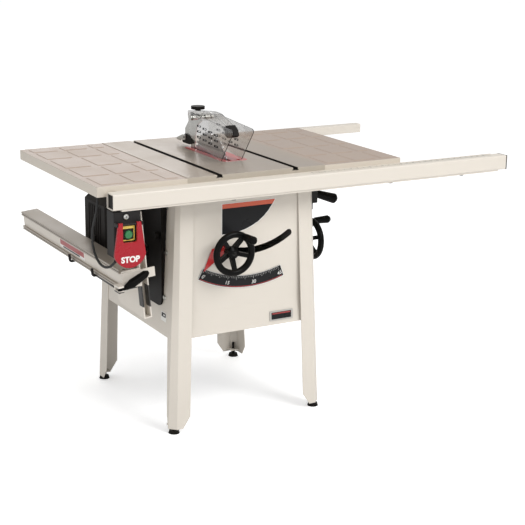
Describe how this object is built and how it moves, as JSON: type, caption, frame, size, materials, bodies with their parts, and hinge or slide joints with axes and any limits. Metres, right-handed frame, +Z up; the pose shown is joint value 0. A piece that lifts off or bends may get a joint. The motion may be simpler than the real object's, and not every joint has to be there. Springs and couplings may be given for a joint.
{
  "type": "table saw",
  "caption": "Left-tilting contractor-style table saw on a flared four-leg stand, with extension wings, front rail, blade guard, handwheels, stop paddle and a stored rip fence and mitre gauge.",
  "frame": {"origin": "middle of the footprint of the whole saw (its lead left out) on the floor plane", "axes": "+X to the operator's right along the fence rails, +Y away from the operator, +Z up"},
  "size_m": [1.543, 1.0234, 1.02],
  "materials": {
    "cast_iron_top": "ground grey cast iron with a faint sheen",
    "wing_grey": "grey stoved enamel, satin",
    "cream_coat": "cream powder coat, satin with a slight texture",
    "red_plastic": "red moulded plastic, satin gloss",
    "red_paint": "red enamel, satin",
    "black_plastic": "black moulded plastic, fine texture",
    "wheel_iron": "cast iron under black enamel, satin",
    "switch_grey": "dark grey moulded plastic",
    "green_plastic": "green moulded plastic",
    "casting_grey": "grey painted casting",
    "bare_steel": "turned bare steel, lightly oiled",
    "black_steel": "black painted steel",
    "zinc_steel": "zinc plated steel",
    "blade_steel": "ground saw steel with bright tips",
    "fence_face": "bead-blasted aluminium extrusion",
    "scale_black": "black plate with white divisions",
    "clear_plastic": "clear polycarbonate, slightly smoked",
    "belt_rubber": "black ribbed belt rubber",
    "motor_grey": "dark grey painted motor case",
    "lead_rubber": "black round mains lead"
  },
  "bodies": {
    "saw": {"dust_chute": "black_plastic", "front_angle_rail": "cream_coat", "front_panel": "cream_coat", "front_tube_rail": "cream_coat", "left_panel": "cream_coat", "left_wing": "wing_grey", "legs_front": "cream_coat", "legs_rear": "cream_coat", "levelling_feet": "black_plastic", "main_table": "cast_iron_top", "motor_cover": "black_plastic", "power_cord": "lead_rubber", "rail_fittings": "black_plastic", "rear_angle_rail": "cream_coat", "rear_panel": "cream_coat", "right_panel": "cream_coat", "right_wing": "wing_grey", "storage_hooks": "black_steel", "switch_box": "switch_grey", "switch_bracket": "black_steel", "table_insert": "red_paint", "tilt_scale": "scale_black", "trunnion_brackets": "casting_grey", "worm_bearings": "casting_grey"},
    "tilt_carriage": {"cradle_front": "casting_grey", "cradle_rear": "casting_grey", "saddle": "casting_grey", "guide_bars": "bare_steel", "tilt_pointer": "red_paint", "spreader": "zinc_steel", "guard_blocks": "black_plastic", "guard_spine": "clear_plastic", "guard_pivot": "zinc_steel"},
    "raise_wheel": {"raise_handwheel": "wheel_iron", "raise_shaft": "bare_steel"},
    "raise_wheel_grip": {"raise_grip": "black_plastic"},
    "lead_screw": {"lead_screw": "bare_steel"},
    "arbor_unit": {"arbor_carriage": "casting_grey", "motor": "motor_grey", "drive_belt": "belt_rubber"},
    "blade_spindle": {"arbor": "bare_steel", "arbor_flange_nut": "zinc_steel", "saw_blade": "blade_steel"},
    "motor_spindle": {"motor_pulley": "bare_steel"},
    "tilt_wheel": {"tilt_handwheel": "wheel_iron", "tilt_shaft": "bare_steel"},
    "tilt_wheel_grip": {"tilt_grip": "black_plastic"},
    "left_guard": {"guard_leaf_left": "clear_plastic"},
    "right_guard": {"guard_leaf_right": "clear_plastic"},
    "pawls": {"kickback_pawls": "zinc_steel"},
    "paddle": {"stop_paddle": "red_plastic"},
    "button": {"start_button": "green_plastic"},
    "fence": {"fence_body": "cream_coat", "fence_faces": "fence_face", "fence_head": "cream_coat"},
    "fence_lock": {"fence_lever": "black_plastic"},
    "gauge": {"gauge_bar": "bare_steel"},
    "gauge_head": {"gauge_head": "black_steel"},
    "gauge_knob": {"gauge_handle": "black_plastic"}
  },
  "joints": [
    {"name": "raise_wheel_turn", "type": "hinge", "parent": "tilt_carriage", "child": "raise_wheel", "pos_m": [-0.30724, -0.40835, 0.60771], "axis": [0, 1, 0], "range_deg": [-2844, 0]},
    {"name": "blade_raise", "type": "slide", "parent": "tilt_carriage", "child": "arbor_unit", "axis": [0, 0, 1], "range_m": [-0.079, 0]},
    {"name": "lead_screw_turn", "type": "hinge", "parent": "tilt_carriage", "child": "lead_screw", "pos_m": [-0.30724, -0.15335, 0.7], "axis": [0, 0, 1], "range_deg": [-2844, 0]},
    {"name": "raise_grip_spin", "type": "hinge", "parent": "raise_wheel", "child": "raise_wheel_grip", "pos_m": [-0.27332, -0.47835, 0.66198], "axis": [0, -1, 0], "continuous": true},
    {"name": "tilt_wheel_turn", "type": "hinge", "parent": "saw", "child": "tilt_wheel", "pos_m": [0.08789, -0.19635, 0.5536], "axis": [1, 0, 0], "range_deg": [0, 4320]},
    {"name": "blade_tilt", "type": "hinge", "parent": "saw", "child": "tilt_carriage", "pos_m": [-0.2125, -0.07835, 0.868], "axis": [0, -1, 0], "range_deg": [0, 45]},
    {"name": "tilt_grip_spin", "type": "hinge", "parent": "tilt_wheel", "child": "tilt_wheel_grip", "pos_m": [0.17789, -0.19635, 0.6176], "axis": [1, 0, 0], "continuous": true},
    {"name": "blade_spin", "type": "hinge", "parent": "arbor_unit", "child": "blade_spindle", "pos_m": [-0.2125, -0.09035, 0.82], "axis": [1, 0, 0], "continuous": true},
    {"name": "motor_spin", "type": "hinge", "parent": "arbor_unit", "child": "motor_spindle", "pos_m": [-0.2855, 0.01865, 0.655], "axis": [1, 0, 0], "continuous": true},
    {"name": "left_guard_lift", "type": "hinge", "parent": "tilt_carriage", "child": "left_guard", "pos_m": [-0.2505, -0.01835, 0.985], "axis": [-1, 0, 0], "range_deg": [0, 12.5]},
    {"name": "right_guard_lift", "type": "hinge", "parent": "tilt_carriage", "child": "right_guard", "pos_m": [-0.1745, -0.01835, 0.985], "axis": [-1, 0, 0], "range_deg": [0, 35]},
    {"name": "pawl_lift", "type": "hinge", "parent": "tilt_carriage", "child": "pawls", "pos_m": [-0.2125, 0.09765, 0.898], "axis": [1, 0, 0], "range_deg": [0, 50], "stiffness_Nm_per_rad": 0.02},
    {"name": "paddle_swing", "type": "hinge", "parent": "saw", "child": "paddle", "pos_m": [-0.6925, -0.48135, 0.756], "axis": [-1, 0, 0], "range_deg": [-4.5, 30]},
    {"name": "start_press", "type": "slide", "parent": "saw", "child": "button", "axis": [0, 1, 0], "range_m": [0, 0.005], "stiffness_N_per_m": 400},
    {"name": "fence_draw_out", "type": "slide", "parent": "saw", "child": "fence", "axis": [0, -1, 0], "range_m": [0, 0.3]},
    {"name": "fence_lock_turn", "type": "hinge", "parent": "fence", "child": "fence_lock", "pos_m": [-0.70443, -0.43035, 0.53927], "axis": [0.0958, 0, -0.9954], "range_deg": [0, 80]},
    {"name": "gauge_slide_out", "type": "slide", "parent": "saw", "child": "gauge", "axis": [0, -1, 0], "range_m": [0, 0.08]},
    {"name": "gauge_head_turn", "type": "hinge", "parent": "gauge", "child": "gauge_head", "pos_m": [0.05304, -0.29335, 0.738], "axis": [1, 0, 0], "range_deg": [-60, 60]},
    {"name": "gauge_knob_turn", "type": "hinge", "parent": "gauge_head", "child": "gauge_knob", "pos_m": [0.06804, -0.29335, 0.747], "axis": [0.9511, 0, -0.309], "range_deg": [0, 360]}
  ],
  "couplings": [
    {"joint": "blade_raise", "follows": "raise_wheel_turn", "m_per_rad": 0.0015915},
    {"joint": "lead_screw_turn", "follows": "raise_wheel_turn", "ratio": 1},
    {"joint": "blade_tilt", "follows": "tilt_wheel_turn", "ratio": 0.010417},
    {"joint": "left_guard_lift", "follows": "tilt_wheel_turn", "ratio": 0.0028935},
    {"joint": "motor_spin", "follows": "blade_spin", "ratio": 0.86111}
  ]
}
